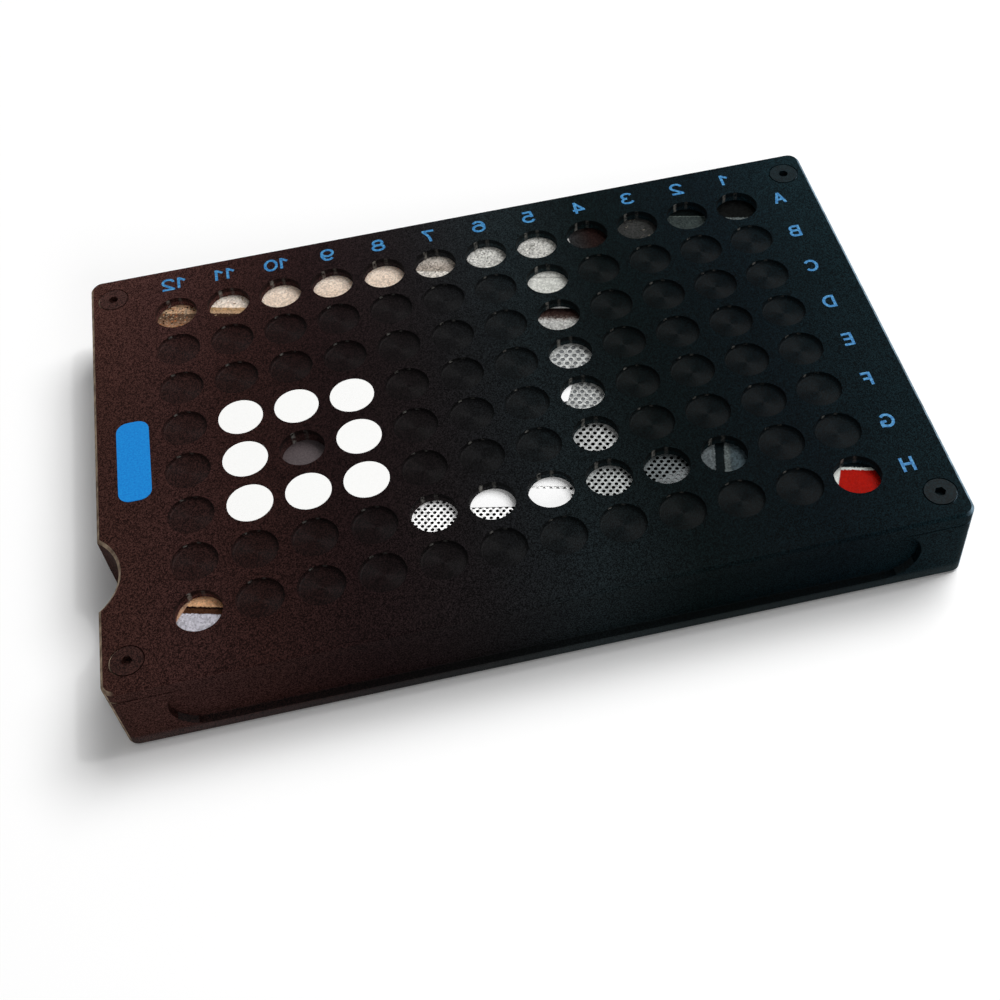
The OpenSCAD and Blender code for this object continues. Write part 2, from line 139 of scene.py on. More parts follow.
def blasted_skin(tree, place):
    """Matt black anodising over bead-blasted metal, as on the block's outer faces."""
    dyed, dimples = dyed_black(tree, place)
    facing = add(tree, "VectorMath", {
        0: add(tree, "NewGeometry").outputs["Normal"]}, operation="ABSOLUTE")
    facing = add(tree, "SeparateXYZ", {"Vector": facing.outputs["Vector"]})
    # The long sides are drawn up to half as light again as the top: painted light on them
    upright = add(tree, "MapRange", {
        "Value": facing.outputs["Y"], "From Min": 0.5, "From Max": 0.9,
        "To Min": 1.0, "To Max": 1.5})
    dyed = add(tree, "VectorMath", {
        0: dyed, "Scale": upright.outputs["Result"]}, operation="SCALE").outputs["Vector"]
    # Painted highlights on the edges at the plate's two ends: the bevels, and the round upright
    # corners
    highlight_from = cad_high.x - 4.5 * mm
    highlight_full = cad_high.x - 3.1 * mm
    corner_from = cad_high.y - 1.5 * mm
    apart = add(tree, "VectorMath", {0: place}, operation="ABSOLUTE")
    apart = add(tree, "SeparateXYZ", {"Vector": apart.outputs["Vector"]})
    at_end = add(tree, "MapRange", {
        "Value": apart.outputs["X"], "From Min": highlight_from, "From Max": highlight_full})
    endward = add(tree, "MapRange", {
        "Value": facing.outputs["X"], "From Min": 0.1, "From Max": 0.45})
    at_corner = add(tree, "Math", {
        0: apart.outputs["Y"], 1: corner_from}, operation="GREATER_THAN")
    # How far up a bevel faces, and how far endwise a round corner: middle and reach
    on_bevel = add(tree, "Math", {
        0: facing.outputs["Z"], 1: 0.7, 2: 0.15}, operation="COMPARE")
    on_round = add(tree, "Math", {
        0: facing.outputs["X"], 1: 0.8, 2: 0.17}, operation="COMPARE")
    rounded = add(tree, "Math", {
        0: at_corner.outputs["Value"], 1: on_round.outputs["Value"]}, operation="MULTIPLY")
    end_bevel = add(tree, "Math", {
        0: on_bevel.outputs["Value"], 1: endward.outputs["Result"]}, operation="MULTIPLY")
    edge = add(tree, "Math", {
        0: end_bevel.outputs["Value"], 1: rounded.outputs["Value"]}, operation="MAXIMUM")
    highlight_breakup = add(tree, "TexNoise", {"Vector": place, "Scale": 1 / (1.5 * mm), "Detail": 4})
    highlight_strength = add(tree, "MapRange", {
        "Value": highlight_breakup.outputs["Fac"], "From Min": 0.35, "From Max": 0.65,
        "To Min": 0.25, "To Max": 0.85})
    edge_highlight = add(tree, "Math", {
        0: at_end.outputs["Result"], 1: edge.outputs["Value"]}, operation="MULTIPLY")
    edge_highlight = add(tree, "Math", {
        0: edge_highlight.outputs["Value"], 1: highlight_strength.outputs["Result"]}, operation="MULTIPLY")
    spot = add(tree, "SeparateXYZ", {"Vector": place})
    end = add(tree, "MapRange", {
        "Value": spot.outputs["X"], "From Min": cad_low.x, "From Max": cad_high.x})
    # The lowest band of the block is drawn greyer: painted light, thrown up on the foot from the
    # white sheet
    foot_top = 2.6 * mm
    foot_full_lift = 1.6 * mm
    foot_bounce = 0.075
    floor_bounce = add(tree, "MapRange", {
        "Value": spot.outputs["Z"], "From Min": foot_top, "From Max": foot_full_lift,
        "To Max": foot_bounce})
    # So is the up-facing ledge of each grip recess, where the overhang shades it: painted light
    ledge_height = 4.8 * mm
    ledge_reach = 2.2 * mm
    ledge_lift = 0.06
    ledge = add(tree, "Math", {
        0: spot.outputs["Z"], 1: ledge_height, 2: ledge_reach}, operation="COMPARE")
    flat = add(tree, "Math", {0: facing.outputs["Z"], 1: 0.5}, operation="GREATER_THAN")
    ledge = add(tree, "Math", {
        0: ledge.outputs["Value"], 1: flat.outputs["Value"]}, operation="MULTIPLY")
    ledge = add(tree, "Math", {
        0: ledge.outputs["Value"], 1: ledge_lift}, operation="MULTIPLY")
    # The two painted lifts, on the foot and on the ledges, are mixed in as grey
    painted_lift = add(tree, "Math", {
        0: floor_bounce.outputs["Result"], 1: ledge.outputs["Value"]}, operation="MAXIMUM")
    lifted = add(tree, "Mix", {
        "Factor": painted_lift.outputs["Value"], 6: dyed, 7: linear("#8f9a9c")},
        data_type="RGBA")
    # The painted edge highlight runs from beige at one end of the plate to pale blue at the
    # other
    highlight_tint = add(tree, "ValToRGB", {"Fac": end.outputs["Result"]}, stops=[
        (0.0, "#b9a48c"), (1.0, "#8fabbd")])
    mixed = add(tree, "Mix", {
        "Factor": edge_highlight.outputs["Value"], 6: lifted.outputs[2], 7: highlight_tint.outputs["Color"]},
        data_type="RGBA")
    colour = mixed.outputs[2]
    handling = add(tree, "TexNoise", {"Vector": place, "Scale": 1 / (9 * mm), "Detail": 3})
    roughness = add(tree, "MapRange", {
        "Value": handling.outputs["Fac"], "To Min": 0.42, "To Max": 0.6})
    bump = add(tree, "Bump", {"Height": dimples, "Strength": 0.5, "Distance": 0.01 * mm})
    return add(tree, "BsdfPrincipled", {
        "Base Color": colour, "Roughness": roughness.outputs["Result"],
        "Normal": bump.outputs["Normal"], "Specular IOR Level": 0.012})


# Black anodised aluminium: near-black, matt, with the faint grain of the blasting
black_anodised, tree, place = new_material("black_anodised_aluminium")
skin = blasted_skin(tree, place)
add(tree, "OutputMaterial", {"Surface": skin.outputs["BSDF"]})
cover_with(black_anodised, "base_block")


# ---- Lamp bay ---------------------------------------------------------------------
# Under the lit well a small board carries the lamp, a light sensor and a controller,
# and a coin cell in a bent clip. Reflow soldered, hung on four stand-offs by screws.

# FR4 board: green solder resist, slightly glossy, over a faint weave of glass cloth
solder_resist, tree, place = new_material("green_solder_resist")
weave = add(tree, "TexBrick", {
    "Vector": place, "Color1": linear("#14562f"), "Color2": linear("#10492a"),
    "Mortar": linear("#0d3d23"), "Scale": 1 / (1.2 * mm), "Mortar Size": 0.06})
weave_bump = add(tree, "Bump", {
    "Height": weave.outputs["Fac"], "Strength": 0.2, "Distance": 0.01 * mm})
skin = add(tree, "BsdfPrincipled", {
    "Base Color": weave.outputs["Color"], "Roughness": 0.32,
    "Normal": weave_bump.outputs["Normal"]})
add(tree, "OutputMaterial", {"Surface": skin.outputs["BSDF"]})
cover_with(solder_resist, "circuit_board")

# Moulded epoxy of chip packages: dark grey, satin, with a fine moulded grain
chip_epoxy, tree, place = new_material("moulded_black_epoxy")
grit = add(tree, "TexNoise", {"Vector": place, "Scale": 1 / (0.1 * mm), "Detail": 2})
epoxy = add(tree, "ValToRGB", {"Fac": grit.outputs["Fac"]}, stops=[
    (0.3, "#1b1c1e"), (0.7, "#2a2b2d")])
grit_bump = add(tree, "Bump", {
    "Height": grit.outputs["Fac"], "Strength": 0.3, "Distance": 0.01 * mm})
skin = add(tree, "BsdfPrincipled", {
    "Base Color": epoxy.outputs["Color"], "Roughness": 0.45,
    "Normal": grit_bump.outputs["Normal"]})
add(tree, "OutputMaterial", {"Surface": skin.outputs["BSDF"]})
cover_with(chip_epoxy, "board_parts")

# Lamp package: clear silicone over yellow phosphor, softly mottled
phosphor, tree, place = new_material("yellow_phosphor_silicone")
mottle = add(tree, "TexNoise", {"Vector": place, "Scale": 1 / (0.4 * mm), "Detail": 3})
yellow = add(tree, "ValToRGB", {"Fac": mottle.outputs["Fac"]}, stops=[
    (0.35, "#e6d77a"), (0.65, "#f1e8a4")])
skin = add(tree, "BsdfPrincipled", {
    "Base Color": yellow.outputs["Color"], "Roughness": 0.15,
    "Subsurface Weight": 0.3, "Subsurface Scale": 0.5 * mm})
add(tree, "OutputMaterial", {"Surface": skin.outputs["BSDF"]})
cover_with(phosphor, "emitter_led")

# Nickel-plated steel of cell, clip and board screws: bright, with fine rolling lines
nickel, tree, place = new_material("nickel_plated_steel")
rolled = add(tree, "Mapping", {
    "Vector": place, "Scale": (1 / (4 * mm), 1 / (0.12 * mm), 1 / (0.12 * mm))})
lines = add(tree, "TexNoise", {"Vector": rolled.outputs["Vector"], "Scale": 1, "Detail": 3})
plating = add(tree, "ValToRGB", {"Fac": lines.outputs["Fac"]}, stops=[
    (0.3, "#b2b1ae"), (0.7, "#cfcecb")])
sheen = add(tree, "MapRange", {
    "Value": lines.outputs["Fac"], "To Min": 0.2, "To Max": 0.38})
skin = add(tree, "BsdfPrincipled", {
    "Base Color": plating.outputs["Color"], "Metallic": 1,
    "Roughness": sheen.outputs["Result"]})
add(tree, "OutputMaterial", {"Surface": skin.outputs["BSDF"]})
cover_with(nickel, "coin_cell", "cell_clip", "board_screws")


# ---- Bottom hatch -----------------------------------------------------------------
# A flat plate closes the bay from below, let in so that the foot of the block and not
# the hatch meets the bench. Milled and anodised with the block, six countersunk screws.
cover_with(black_anodised, "bottom_hatch")


# ---- Lit well ---------------------------------------------------------------------
# The diffuser over the lamp is a disc of smoke-grey opal acrylic, cast and left satin,
# clamped under the cover at E10. Unlit, it reads as a dull grey-brown floor.
opal_acrylic, tree, place = new_material("smoke_grey_opal_acrylic")
cloud = add(tree, "TexNoise", {"Vector": place, "Scale": 1 / (0.25 * mm), "Detail": 3})
smoke = add(tree, "ValToRGB", {"Fac": cloud.outputs["Fac"]}, stops=[
    (0.3, "#40383a"), (0.7, "#574e4f")])
skin = add(tree, "BsdfPrincipled", {
    "Base Color": smoke.outputs["Color"], "Roughness": 0.4,
    "Specular IOR Level": 0.2})
add(tree, "OutputMaterial", {"Surface": skin.outputs["BSDF"]})
cover_with(opal_acrylic, "emitter_diffuser")


# ---- Glass filters ----------------------------------------------------------------
# Seventeen round filters of optical glass under a thin evaporated coating that sets how much
# light each lets through, so they run from pale to nearly black. Bands of other colours lie
# across several, most at one slant: painted reflections. Each is ground and dropped in its seat.
across_row = math.radians(74)
band_reach = 4.0


def coated_glass(name, tones_and_reflections, lean=across_row, corner=None, mottle=0.25, flecks=(),
                 frayed=0.15):
    """Coated filter glass; the list of stops gives, by how far across they lie in mm, the
    coating's colours and the painted reflections on it.

    A corner (angle, edge, colour) is a patch of another colour past one straight edge. Each of
    flecks (from, to, colour) colours that share of the grains, and frayed is how many mm they
    shift the edge of a band by.
    """
    material, tree, place = new_material("coated_filter_glass_" + name)
    low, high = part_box(name)
    centre = (low + high) / 2
    local = add(tree, "VectorMath", {
        0: place, 1: (centre.x, centre.y, 0)}, operation="SUBTRACT")
    across = add(tree, "VectorMath", {
        0: local.outputs["Vector"], 1: (math.cos(lean), math.sin(lean), 0)},
        operation="DOT_PRODUCT")
    # The edge of each band wanders by a few hundredths of a millimetre
    wander_by = 0.16 * mm
    wander = add(tree, "TexNoise", {"Vector": place, "Scale": 1 / (0.5 * mm), "Detail": 4})
    shifted = add(tree, "Math", {
        0: wander.outputs["Fac"], 1: wander_by, 2: across.outputs["Value"]},
        operation="MULTIPLY_ADD")
    # Mottle and flecks of the evaporated metal: a few hundredths of a millimetre wide in truth,
    # drawn far wider so that they show. They also fray the edge of each band
    grain = 0.28 * mm
    grains = add(tree, "TexVoronoi", {"Vector": place, "Scale": 1 / grain})
    pick = add(tree, "SeparateColor", {"Color": grains.outputs["Color"]})
    shifted = add(tree, "Math", {
        0: pick.outputs["Blue"], 1: frayed * mm, 2: shifted.outputs["Value"]},
        operation="MULTIPLY_ADD")
    share = add(tree, "MapRange", {
        "Value": shifted.outputs["Value"], "From Min": -band_reach * mm,
        "From Max": band_reach * mm})
    coat_and_reflections = add(tree, "ValToRGB", {"Fac": share.outputs["Result"]}, stops=[
        ((at + band_reach) / (2 * band_reach), code) for at, code in tones_and_reflections])
    colour = coat_and_reflections.outputs["Color"]
    if corner:
        angle, edge, code = corner
        blur = 0.08
        beyond = add(tree, "VectorMath", {
            0: local.outputs["Vector"],
            1: (math.cos(math.radians(angle)), math.sin(math.radians(angle)), 0)},
            operation="DOT_PRODUCT")
        mask = add(tree, "MapRange", {
            "Value": beyond.outputs["Value"], "From Min": (edge - blur) * mm,
            "From Max": (edge + blur) * mm})
        mixed = add(tree, "Mix", {
            "Factor": mask.outputs["Result"], 6: colour, 7: linear(code)}, data_type="RGBA")
        colour = mixed.outputs[2]
    for start, end, code in flecks:
        chosen = add(tree, "Math", {
            0: pick.outputs["Red"], 1: (start + end) / 2, 2: (end - start) / 2},
            operation="COMPARE")
        flecked = add(tree, "Mix", {
            "Factor": chosen.outputs["Value"], 6: colour, 7: linear(code)},
            data_type="RGBA")
        colour = flecked.outputs[2]
    speckle = add(tree, "MapRange", {
        "Value": pick.outputs["Green"], "To Min": 1 - mottle, "To Max": 1 + mottle})
    shade = add(tree, "VectorMath", {
        0: colour, 1: speckle.outputs["Result"]}, operation="MULTIPLY")
    # Light spreads sideways inside the glass, so that it is even up to the seat's wall
    spread = 2.2 * mm
    skin = add(tree, "BsdfPrincipled", {
        "Base Color": shade.outputs["Vector"], "Roughness": 0.3,
        "Specular IOR Level": 0.012, "Subsurface Weight": 0.9,
        "Subsurface Radius": (1, 1, 1), "Subsurface Scale": spread})
    add(tree, "OutputMaterial", {"Surface": skin.outputs["BSDF"]})
    cover_with(material, name)


coated_glass("filter_a12", [
    (-1.9, "#ab8464"), (-0.6, "#7c5e49"), (0.5, "#5c4737"), (1.45, "#503d30"),
    (1.65, "#bc9b7c"), (3.4, "#d2aa88")],
    mottle=0.35, flecks=[
        (0.0, 0.07, "#96603c"), (0.07, 0.15, "#3c261a"), (0.15, 0.27, "#93816f")])
coated_glass("filter_a11", [
    (-0.85, "#3a261e"), (-0.75, "#aa8c70"), (0.55, "#a88862"), (0.7, "#e2d0c0"),
    (3.4, "#ecdccf")],
    mottle=0.3, flecks=[(0.0, 0.05, "#a38a72")])
for column in (10, 9, 8):
    coated_glass("filter_a%d" % column, [(0.0, "#dcc8b6"), (3.4, "#ead5c4")])
coated_glass("filter_a7", [
    (-0.15, "#cac4bc"), (0.0, "#6e665e"), (0.1, "#9a9187"), (1.0, "#a0968c"),
    (3.4, "#c6bfb6")],
    mottle=0.45, flecks=[(0.0, 0.06, "#6a625a")])
for column, base, far in ((6, "#bfbeb9", "#cccbc5"), (5, "#bcbbb6", "#c8c7c1")):
    coated_glass("filter_a%d" % column, [(0.0, base), (3.4, far)],
                 mottle=0.45, flecks=[(0.0, 0.05, "#8a8984")])
coated_glass("filter_a4", [
    (-3.0, "#d8d8d6"), (-2.85, "#28292a"), (-0.5, "#1f1b1a"), (1.0, "#1f1412")],
    lean=0, mottle=0.5, frayed=0.05)
coated_glass("filter_a3", [(0.0, "#2f302f"), (3.4, "#353635")],
             mottle=0.4, flecks=[(0.0, 0.03, "#5c5850")])
coated_glass("filter_a2", [
    (1.7, "#323a39"), (1.76, "#5e6764"), (1.82, "#5e6764"), (1.88, "#0a0f0f")],
    mottle=0.4, frayed=0.05)
coated_glass("filter_a1", [
    (-1.75, "#2a3031"), (-1.45, "#666d6d"), (-1.05, "#565d5d"), (-0.85, "#0a0c0b"),
    (3.4, "#0b0c0c")],
    mottle=0.6)
coated_glass("filter_b5", [
    (1.9, "#c8c9c3"), (2.05, "#a6a6a1"), (2.3, "#a8a8a3"), (2.45, "#d8d9d2")])
# C5's white corner past its far edge is painted light, kept bright against the shade at the
# seat's back wall
coated_glass("filter_c5", [
    (0.65, "#aeaeab"), (1.1, "#7c7571"), (1.5, "#40332f"), (2.2, "#2e201d"),
    (3.0, "#170f0e")], corner=(74, 3.2, "#f6f5f1"), mottle=0.4, frayed=0.6)
coated_glass("filter_g3", [
    (-1.25, "#555b5d"), (-1.1, "#0a1113"), (0.2, "#0a1113"), (0.35, "#5a6161"),
    (1.0, "#525959"), (1.3, "#3c474b"), (3.4, "#465359")],
    lean=math.radians(-13.5), mottle=0.4)
coated_glass("filter_h12", [
    (0.6, "#b6b4bc"), (0.72, "#43291b"), (1.5, "#3e2517"), (1.65, "#150a08"),
    (1.85, "#150a08"), (1.95, "#cb9e78"), (3.4, "#d8aa84")],
    corner=(146, 2.95, "#b08a70"), mottle=0.3)
coated_glass("filter_h1", [
    (2.35, "#a01208"), (2.45, "#dde2dd"), (2.85, "#dde2dd"), (2.95, "#141c1e")],
    corner=(155, 2.6, "#d0d5d0"), mottle=0.12)


# ---- Perforated screens -----------------------------------------------------------
# Attenuator discs with staggered rows of holes, etched through thin stainless sheet, so their
# metal is satin and the edges of the holes are crisp. Their faces are drawn in greys of
# differing brightness; the near-white faces of G6 and G7 are painted glare.
def etched_screen(name, face):
    """Etched stainless sheet under a face of the given colour."""
    material, tree, place = new_material("etched_stainless_" + name)
    # The rolled face is mottled, drawn coarser than it is so that it shows
    grain = 0.32 * mm
    grains = add(tree, "TexVoronoi", {"Vector": place, "Scale": 1 / grain})
    tone = add(tree, "MapRange", {
        "Value": grains.outputs["Color"], "From Min": 0.15, "From Max": 0.85,
        "To Min": 0.6, "To Max": 1.45})
    # The walls of the holes are drawn down to an eighth of the face's colour: painted shade, so
    # the holes stay dark
    level = add(tree, "SeparateXYZ", {"Vector": add(tree, "NewGeometry").outputs["Normal"]})
    hole_shade = add(tree, "MapRange", {
        "Value": level.outputs["Z"], "From Min": 0.3, "From Max": 0.8,
        "To Min": 0.12, "To Max": 1.0})
    tone = add(tree, "Math", {
        0: tone.outputs["Result"], 1: hole_shade.outputs["Result"]}, operation="MULTIPLY")
    shade = add(tree, "VectorMath", {
        0: linear(face)[:3], 1: tone.outputs["Value"]}, operation="MULTIPLY")
    skin = add(tree, "BsdfPrincipled", {
        "Base Color": shade.outputs["Vector"], "Metallic": 0.3, "Roughness": 0.4,
        "Specular IOR Level": 0.3})
    add(tree, "OutputMaterial", {"Surface": skin.outputs["BSDF"]})
    cover_with(material, name)


for well, face in (
        ("d5", "#a5a7a5"), ("e5", "#a2a4a2"), ("f5", "#9a9c9b"), ("g5", "#929594"),
        ("g4", "#505556"), ("g6", "#fafaf9"), ("g7", "#fafaf9"), ("g8", "#fafaf9")):
    etched_screen("screen_" + well, face)

# White patches of painted glare over parts of three screens: matt and even
glare_patch, tree, place = new_material("white_glare_patch")
glare_mottle = add(tree, "TexNoise", {"Vector": place, "Scale": 1 / (0.3 * mm), "Detail": 3})
glare_tone = add(tree, "ValToRGB", {"Fac": glare_mottle.outputs["Fac"]}, stops=[
    (0.3, "#fafafa"), (0.7, "#ffffff")])
skin = add(tree, "BsdfPrincipled", {
    "Base Color": glare_tone.outputs["Color"], "Roughness": 0.7,
    "Specular IOR Level": 0.2})
add(tree, "OutputMaterial", {"Surface": skin.outputs["BSDF"]})

# A grey fill, a little below the face, in the holes of two screens and some of a third's:
# painted light that stands for the lit walls of the holes. Each fill is one plain disc, so it
# also runs through the metal
hole_light_fill, tree, place = new_material("grey_hole_light_fill")
fill_mottle = add(tree, "TexNoise", {"Vector": place, "Scale": 1 / (0.25 * mm), "Detail": 2})
fill_tone = add(tree, "ValToRGB", {"Fac": fill_mottle.outputs["Fac"]}, stops=[
    (0.3, "#525455"), (0.7, "#7c7f81")])
skin = add(tree, "BsdfPrincipled", {
    "Base Color": fill_tone.outputs["Color"], "Roughness": 0.5,
    "Specular IOR Level": 0.2})
add(tree, "OutputMaterial", {"Surface": skin.outputs["BSDF"]})


def raised(shape, name, top, material):
    """Extrudes a flat shape up to a height and makes an object of it."""
    risen = bmesh.ops.extrude_face_region(shape, geom=shape.faces[:])["geom"]
    for vert in risen:
        if isinstance(vert, bmesh.types.BMVert):
            vert.co.z = top
    bmesh.ops.recalc_face_normals(shape, faces=shape.faces)
    mesh = bpy.data.meshes.new(name)
    shape.to_mesh(mesh)
    shape.free()
    mesh.materials.append(material)
    piece = bpy.data.objects.new(name, mesh)
    bpy.context.scene.collection.objects.link(piece)
    return piece


def laid_disc(name, screen, radius, low, high, cuts, material):
    """A thin round piece on or in a screen; each cut (angle, edge) keeps what lies past it."""
    box_low, box_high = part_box(screen)
    centre = (box_low + box_high) / 2
    shape = bmesh.new()
    bmesh.ops.create_circle(shape, cap_ends=True, segments=96, radius=radius)
    for angle, edge in cuts:
        past = Vector((math.cos(math.radians(angle)), math.sin(math.radians(angle)), 0))
        bmesh.ops.bisect_plane(
            shape, geom=shape.verts[:] + shape.edges[:] + shape.faces[:],
            plane_co=past * edge * mm, plane_no=past, clear_inner=True)
    for vert in shape.verts:
        vert.co = Vector((centre.x + vert.co.x, centre.y + vert.co.y, low))
    piece = raised(shape, name, high, material)
    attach(piece, "root")


# The patches of painted glare lie on the face of the screens, inside the seat under the cover
screen_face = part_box("screen_g7")[1].z
patch_r = 3.55 * mm
glare_thick = 0.12 * mm
for name, screen, cuts in (
        ("glare_g7", "screen_g7", [(77, 0.0)]),
        ("glare_g6_upper", "screen_g6", [(74, 1.75)]),
        ("glare_g6_lower", "screen_g6", [(254, -1.3), (180, -2.9)]),
        ("glare_e5", "screen_e5", [(157, 2.3), (90, 0.1)])):
    laid_disc(name, screen, patch_r, screen_face, screen_face + glare_thick, cuts,
              glare_patch)
fill_drop = 0.1 * mm
fill_thick = 0.2 * mm
for screen, cuts in (("screen_d5", []), ("screen_e5", []), ("screen_g4", [(285, 0.6)])):
    laid_disc("hole_light_" + screen[-2:], screen, patch_r, screen_face - fill_drop - fill_thick,
              screen_face - fill_drop, cuts, hole_light_fill)


# ---- White reference discs --------------------------------------------------------
# Eight plugs of sintered white fluoropolymer reflect all colours alike. Turned from
# bar, pressed up from below until they stand flush with the cover round the lit well.
sintered_white, tree, place = new_material("sintered_white_ptfe")
pores = add(tree, "TexNoise", {"Vector": place, "Scale": 1 / (0.12 * mm), "Detail": 3})
white = add(tree, "ValToRGB", {"Fac": pores.outputs["Fac"]}, stops=[
    (0.3, "#f6f6f4"), (0.7, "#fcfcfb")])
pore_bump = add(tree, "Bump", {
    "Height": pores.outputs["Fac"], "Strength": 0.15, "Distance": 0.005 * mm})
skin = add(tree, "BsdfPrincipled", {
    "Base Color": white.outputs["Color"], "Roughness": 0.6,
    "Normal": pore_bump.outputs["Normal"], "Specular IOR Level": 0.3})
add(tree, "OutputMaterial", {"Surface": skin.outputs["BSDF"]})
for well in ("d9", "d10", "d11", "e9", "e11", "f9", "f10", "f11"):
    cover_with(sintered_white, "white_disc_" + well)


# ---- Cover plate ------------------------------------------------------------------
# A thin plate with one shallow recess at every place of the 12 by 8 grid, bored right
# through where a filter, screen, disc or lamp shows. The wells are turned with an end
# mill that leaves fine rings, and all of it is blasted and anodised like the block.
pitch = 9 * mm
columns = 12
rows = 8
well_r = 3.6 * mm
blind_deep = 0.7 * mm
cover_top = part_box("cover_plate")[1].z

black_cover, tree, place = new_material("black_anodised_cover")
flat_skin = blasted_skin(tree, place)
# Place within the well: the grid repeats every 9 mm from the middle of the plate
cell = add(tree, "VectorMath", {0: place, 1: (pitch, pitch, pitch)}, operation="DIVIDE")
cell = add(tree, "VectorMath", {0: cell.outputs["Vector"]}, operation="FRACTION")
cell = add(tree, "VectorMath", {
    0: cell.outputs["Vector"], 1: (0.5, 0.5, 0.5)}, operation="SUBTRACT")
cell = add(tree, "VectorMath", {
    0: cell.outputs["Vector"], 1: (pitch, pitch, 0)}, operation="MULTIPLY")
radius = add(tree, "VectorMath", {0: cell.outputs["Vector"]}, operation="LENGTH")
# Tool marks, in evenly spaced rings
ring_pitch = 0.3 * mm
wave = add(tree, "Math", {
    0: radius.outputs["Value"], 1: 2 * math.pi / ring_pitch}, operation="MULTIPLY")
rings = add(tree, "Math", {0: wave.outputs["Value"]}, operation="SINE")
ring_bump = add(tree, "Bump", {
    "Height": rings.outputs["Value"], "Strength": 0.5, "Distance": 0.004 * mm})
# The rings smear a highlight across them
around = add(tree, "VectorMath", {
    0: cell.outputs["Vector"], 1: (0, 0, 1)}, operation="CROSS_PRODUCT")
facing = add(tree, "NewGeometry").outputs["Normal"]
smear = add(tree, "VectorMath", {
    0: around.outputs["Vector"], 1: facing}, operation="CROSS_PRODUCT")
smear = add(tree, "VectorMath", {0: smear.outputs["Vector"]}, operation="NORMALIZE")
spot = add(tree, "SeparateXYZ", {"Vector": place})
colour = dyed_black(tree, place)[0]
floor_colour = add(tree, "VectorMath", {
    0: colour, 1: (0.6, 0.6, 0.6)}, operation="MULTIPLY")
turned_floor = add(tree, "BsdfPrincipled", {
    "Base Color": floor_colour.outputs["Vector"], "Roughness": 0.42,
    "Specular IOR Level": 0.03, "Anisotropic": 0.85,
    "Tangent": smear.outputs["Vector"], "Normal": ring_bump.outputs["Normal"]})
# The wall is smooth. It is drawn darker down to where a blind well ends, and up to 2.4 times
# lighter below that: painted shade on the blind wells' walls, painted light on the windows'
# deeper walls. At two places round each wall a paler upright line is painted: a painted
# highlight
wall_light_full = 1.1 * mm
wall_light = add(tree, "MapRange", {
    "Value": spot.outputs["Z"], "From Min": cover_top - blind_deep,
    "From Max": cover_top - wall_light_full, "To Min": 0.7, "To Max": 2.4})
wall_colour = add(tree, "VectorMath", {
    0: colour, 1: wall_light.outputs["Result"]}, operation="MULTIPLY")
outward = add(tree, "VectorMath", {0: cell.outputs["Vector"]}, operation="NORMALIZE")
highlight_breakup = add(tree, "TexNoise", {"Vector": place, "Scale": 1 / (0.5 * mm), "Detail": 3})
patchy = add(tree, "MapRange", {
    "Value": highlight_breakup.outputs["Fac"], "From Min": 0.35, "From Max": 0.65})
# Cosines of how far round the wall a line fades out, and is still at its full strength
line_edge = 0.994
line_core = 0.9995
highlight_strength = 0
for angle, strength in ((111, 0.9), (77, 0.25)):
    way = (math.cos(math.radians(angle)), math.sin(math.radians(angle)), 0)
    near = add(tree, "VectorMath", {
        0: outward.outputs["Vector"], 1: way}, operation="DOT_PRODUCT")
    line = add(tree, "MapRange", {
        "Value": near.outputs["Value"], "From Min": line_edge, "From Max": line_core,
        "To Max": strength})
    highlight_strength = add(tree, "Math", {0: highlight_strength, 1: line.outputs["Result"]}).outputs["Value"]
highlight_strength = add(tree, "Math", {
    0: highlight_strength, 1: patchy.outputs["Result"]}, operation="MULTIPLY").outputs["Value"]
line_colour = add(tree, "Mix", {
    "Factor": highlight_strength, 6: wall_colour.outputs["Vector"], 7: linear("#8d8b86")},
    data_type="RGBA")
turned_wall = add(tree, "BsdfPrincipled", {
    "Base Color": line_colour.outputs[2], "Roughness": 0.5,
    "Specular IOR Level": 0.03, "Anisotropic": 1.0, "Tangent": smear.outputs["Vector"]})
level = add(tree, "SeparateXYZ", {"Vector": facing})
upright = add(tree, "Math", {0: level.outputs["Z"], 1: 0.3}, operation="LESS_THAN")
turned_skin = add(tree, "MixShader", {
    0: upright.outputs["Value"], 1: turned_floor.outputs["BSDF"],
    2: turned_wall.outputs["BSDF"]})
# Only what lies inside a well of the grid is turned
margin = 0.02 * mm
below = add(tree, "Math", {
    0: spot.outputs["Z"], 1: cover_top - margin}, operation="LESS_THAN")
within = add(tree, "Math", {
    0: radius.outputs["Value"], 1: well_r + margin}, operation="LESS_THAN")
inset = add(tree, "VectorMath", {0: place}, operation="ABSOLUTE")
inset = add(tree, "SeparateXYZ", {"Vector": inset.outputs["Vector"]})
off_side = add(tree, "Math", {
    0: inset.outputs["Y"], 1: rows / 2 * pitch}, operation="LESS_THAN")
off_end = add(tree, "Math", {
    0: inset.outputs["X"], 1: columns / 2 * pitch}, operation="LESS_THAN")
turned = add(tree, "Math", {
    0: below.outputs["Value"], 1: within.outputs["Value"]}, operation="MULTIPLY")
on_grid = add(tree, "Math", {
    0: off_side.outputs["Value"], 1: off_end.outputs["Value"]}, operation="MULTIPLY")
turned = add(tree, "Math", {
    0: turned.outputs["Value"], 1: on_grid.outputs["Value"]}, operation="MULTIPLY")
skin = add(tree, "MixShader", {
    0: turned.outputs["Value"], 1: flat_skin.outputs["BSDF"],
    2: turned_skin.outputs["Shader"]})
add(tree, "OutputMaterial", {"Surface": skin.outputs["Shader"]})
cover_with(black_cover, "cover_plate")


